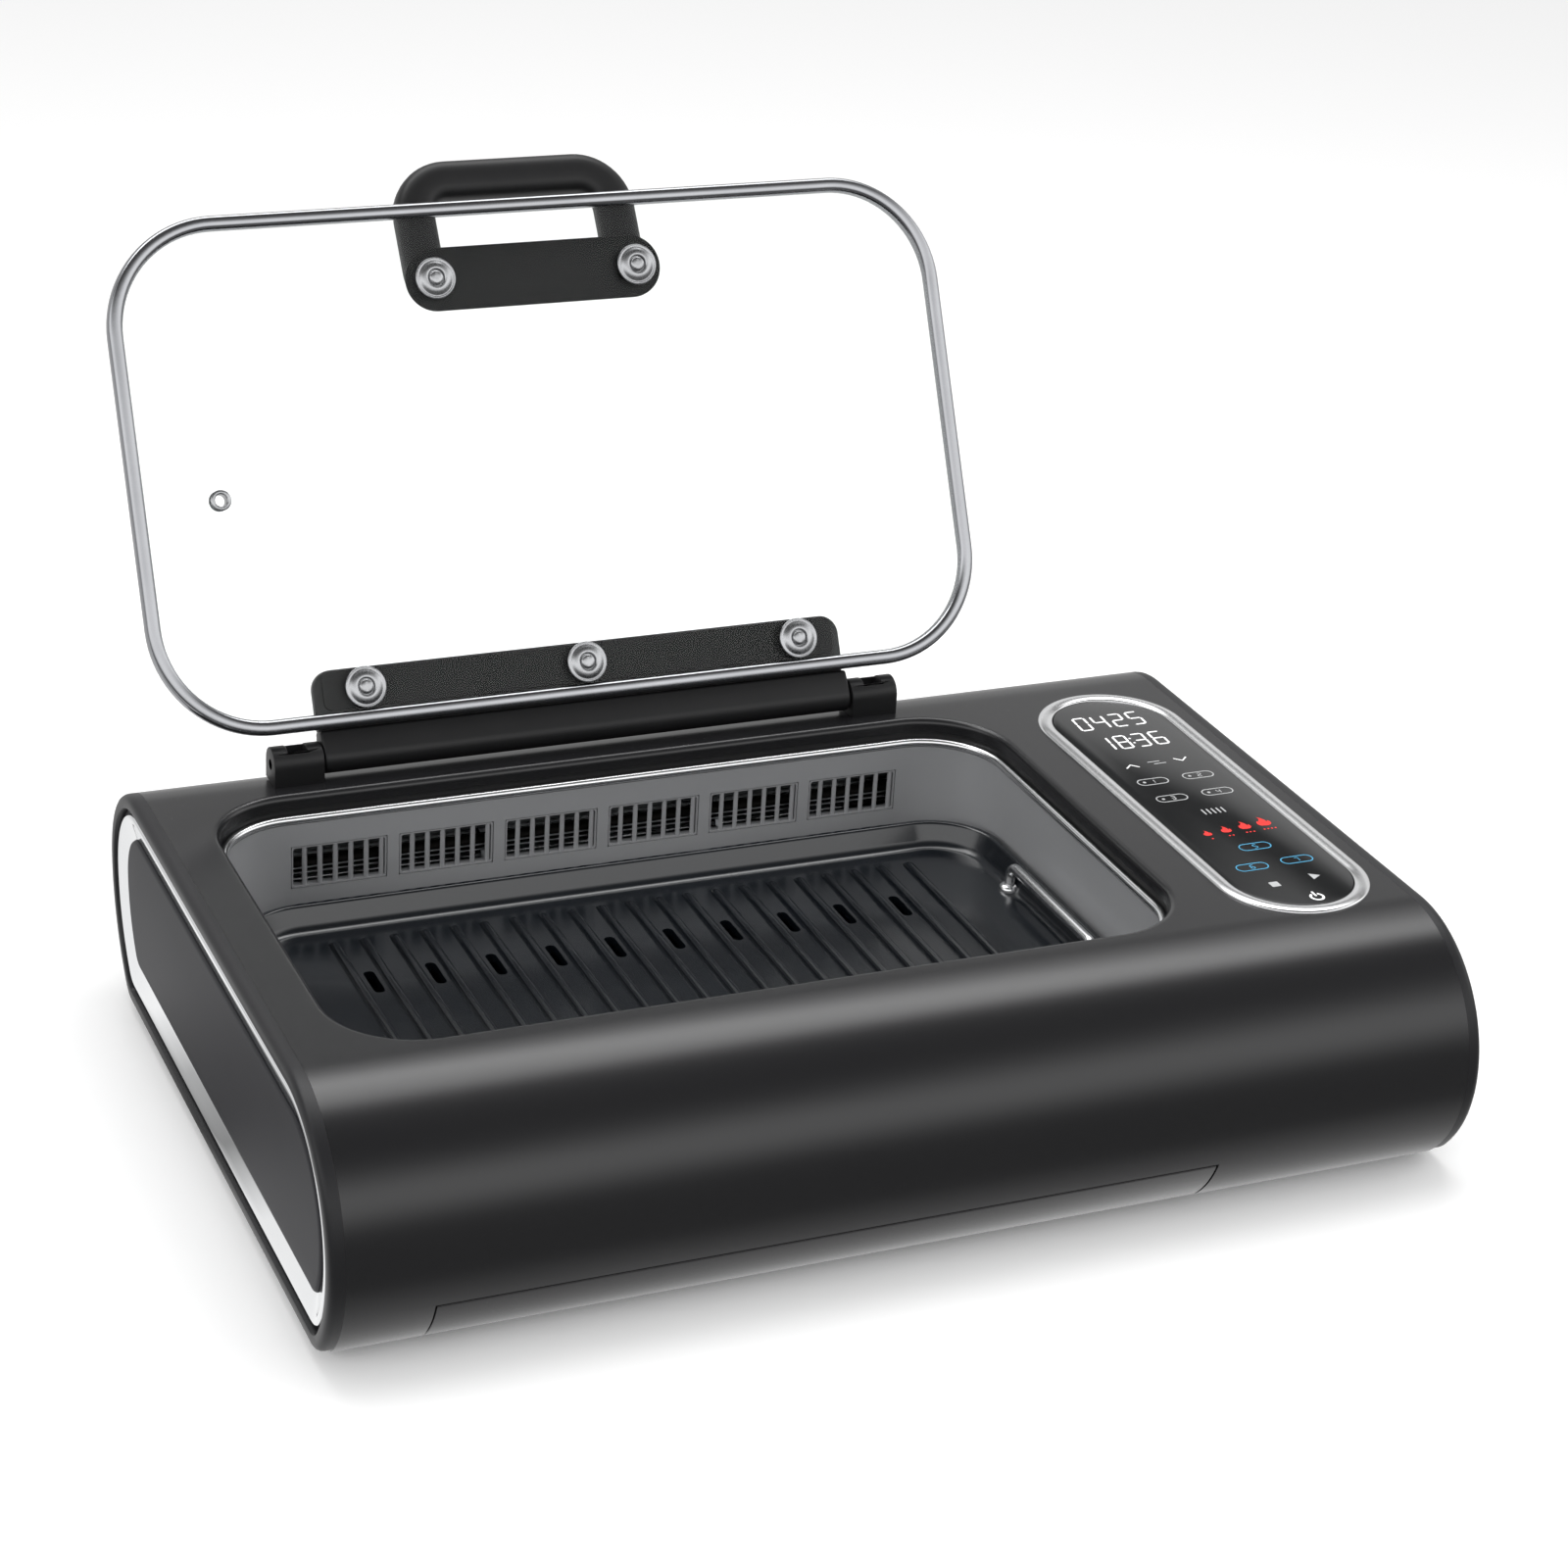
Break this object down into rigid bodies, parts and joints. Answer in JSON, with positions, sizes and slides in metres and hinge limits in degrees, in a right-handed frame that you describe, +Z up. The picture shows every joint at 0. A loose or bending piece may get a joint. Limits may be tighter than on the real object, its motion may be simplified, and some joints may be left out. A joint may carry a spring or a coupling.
{
  "type": "electric indoor grill with hinged glass lid",
  "caption": "Low rounded countertop grill with a sunk ribbed plate, slide-out drip tray, side touch controls and a framed glass lid on a rear hinge.",
  "frame": {"origin": "on the ground plane, under the middle of the body", "axes": "+X along the width to the controls' side, +Y to the back where the hinge is, +Z up"},
  "size_m": [0.513, 0.4561, 0.3541],
  "materials": {
    "black_paint": "satin",
    "pan_steel": "satin",
    "foot_rubber": "matte",
    "zinc_steel": "satin",
    "cap_plastic": "matte",
    "side_plastic": "matte",
    "bright_chrome": "polished",
    "recess_black": "matte",
    "rim_steel": "polished",
    "liner_steel": "satin",
    "plate_enamel": "gloss",
    "element_steel": "oxidised",
    "fan_aluminium": "satin",
    "shaft_steel": "polished",
    "bearing_bronze": "satin",
    "motor_steel": "satin",
    "copper_winding": "satin",
    "dark_glass": "gloss",
    "board_resin": "satin",
    "spring_steel": "satin",
    "part_plastic": "satin",
    "post_nylon": "satin",
    "black_plastic": "matte",
    "wire_sleeve": "satin",
    "clear_glass": "clear"
  },
  "bodies": {
    "body": {"sleeve": "black_paint", "base_pan": "pan_steel", "feet": "foot_rubber", "base_screws": "zinc_steel", "left_bulkhead": "zinc_steel", "right_bulkhead": "zinc_steel", "left_end_cap": "cap_plastic", "right_end_cap": "cap_plastic", "left_trim_ring": "bright_chrome", "right_trim_ring": "bright_chrome", "left_side_panel": "side_plastic", "right_side_panel": "side_plastic", "opening_collar": "recess_black", "liner_rim": "rim_steel", "cooking_liner": "liner_steel", "vent_louvres": "liner_steel", "vent_guard": "zinc_steel", "heating_element": "element_steel", "element_brackets": "zinc_steel", "temperature_probe": "zinc_steel", "thermal_fuse": "zinc_steel", "fan_bearing": "bearing_bronze", "fan_motor": "motor_steel", "motor_coil": "copper_winding", "fan_housing": "zinc_steel", "air_heater": "element_steel", "tray_rails": "zinc_steel", "control_ring": "bright_chrome", "control_glass": "dark_glass", "control_carrier": "recess_black", "control_board": "board_resin", "display_module": "dark_glass", "touch_springs": "spring_steel", "power_board": "board_resin", "power_parts": "part_plastic", "board_posts": "post_nylon", "power_inlet": "black_plastic", "wiring": "wire_sleeve", "left_hinge_tower": "black_plastic", "right_hinge_tower": "black_plastic", "tower_screws": "zinc_steel", "hinge_pins": "shaft_steel", "hinge_springs": "zinc_steel"},
    "lid": {"hinge_bar": "black_plastic", "hinge_pad": "recess_black", "lid_glass": "clear_glass", "lid_rim": "rim_steel", "steam_eyelet": "rim_steel", "handle_pad": "recess_black", "lid_handle": "black_plastic", "lid_washers": "rim_steel", "lid_screws": "rim_steel"},
    "drip_tray": {"drip_tray": "pan_steel", "tray_front": "black_paint"},
    "grill_plate": {"grill_plate": "plate_enamel", "plate_handles": "rim_steel"},
    "fan": {"fan_impeller": "fan_aluminium", "fan_shaft": "shaft_steel"}
  },
  "joints": [
    {"name": "lid_hinge", "type": "hinge", "parent": "body", "child": "lid", "pos_m": [-0.04, 0.135, 0.1195], "axis": [1, 0, 0], "range_deg": [0, 117]},
    {"name": "tray_slide", "type": "slide", "parent": "body", "child": "drip_tray", "axis": [0, -1, 0], "range_m": [0, 0.18]},
    {"name": "plate_lift", "type": "slide", "parent": "body", "child": "grill_plate", "axis": [0, 0, 1], "range_m": [0, 0.034]},
    {"name": "fan_spin", "type": "hinge", "parent": "body", "child": "fan", "pos_m": [-0.04, 0.1473, 0.054], "axis": [1, 0, 0], "continuous": true}
  ]
}
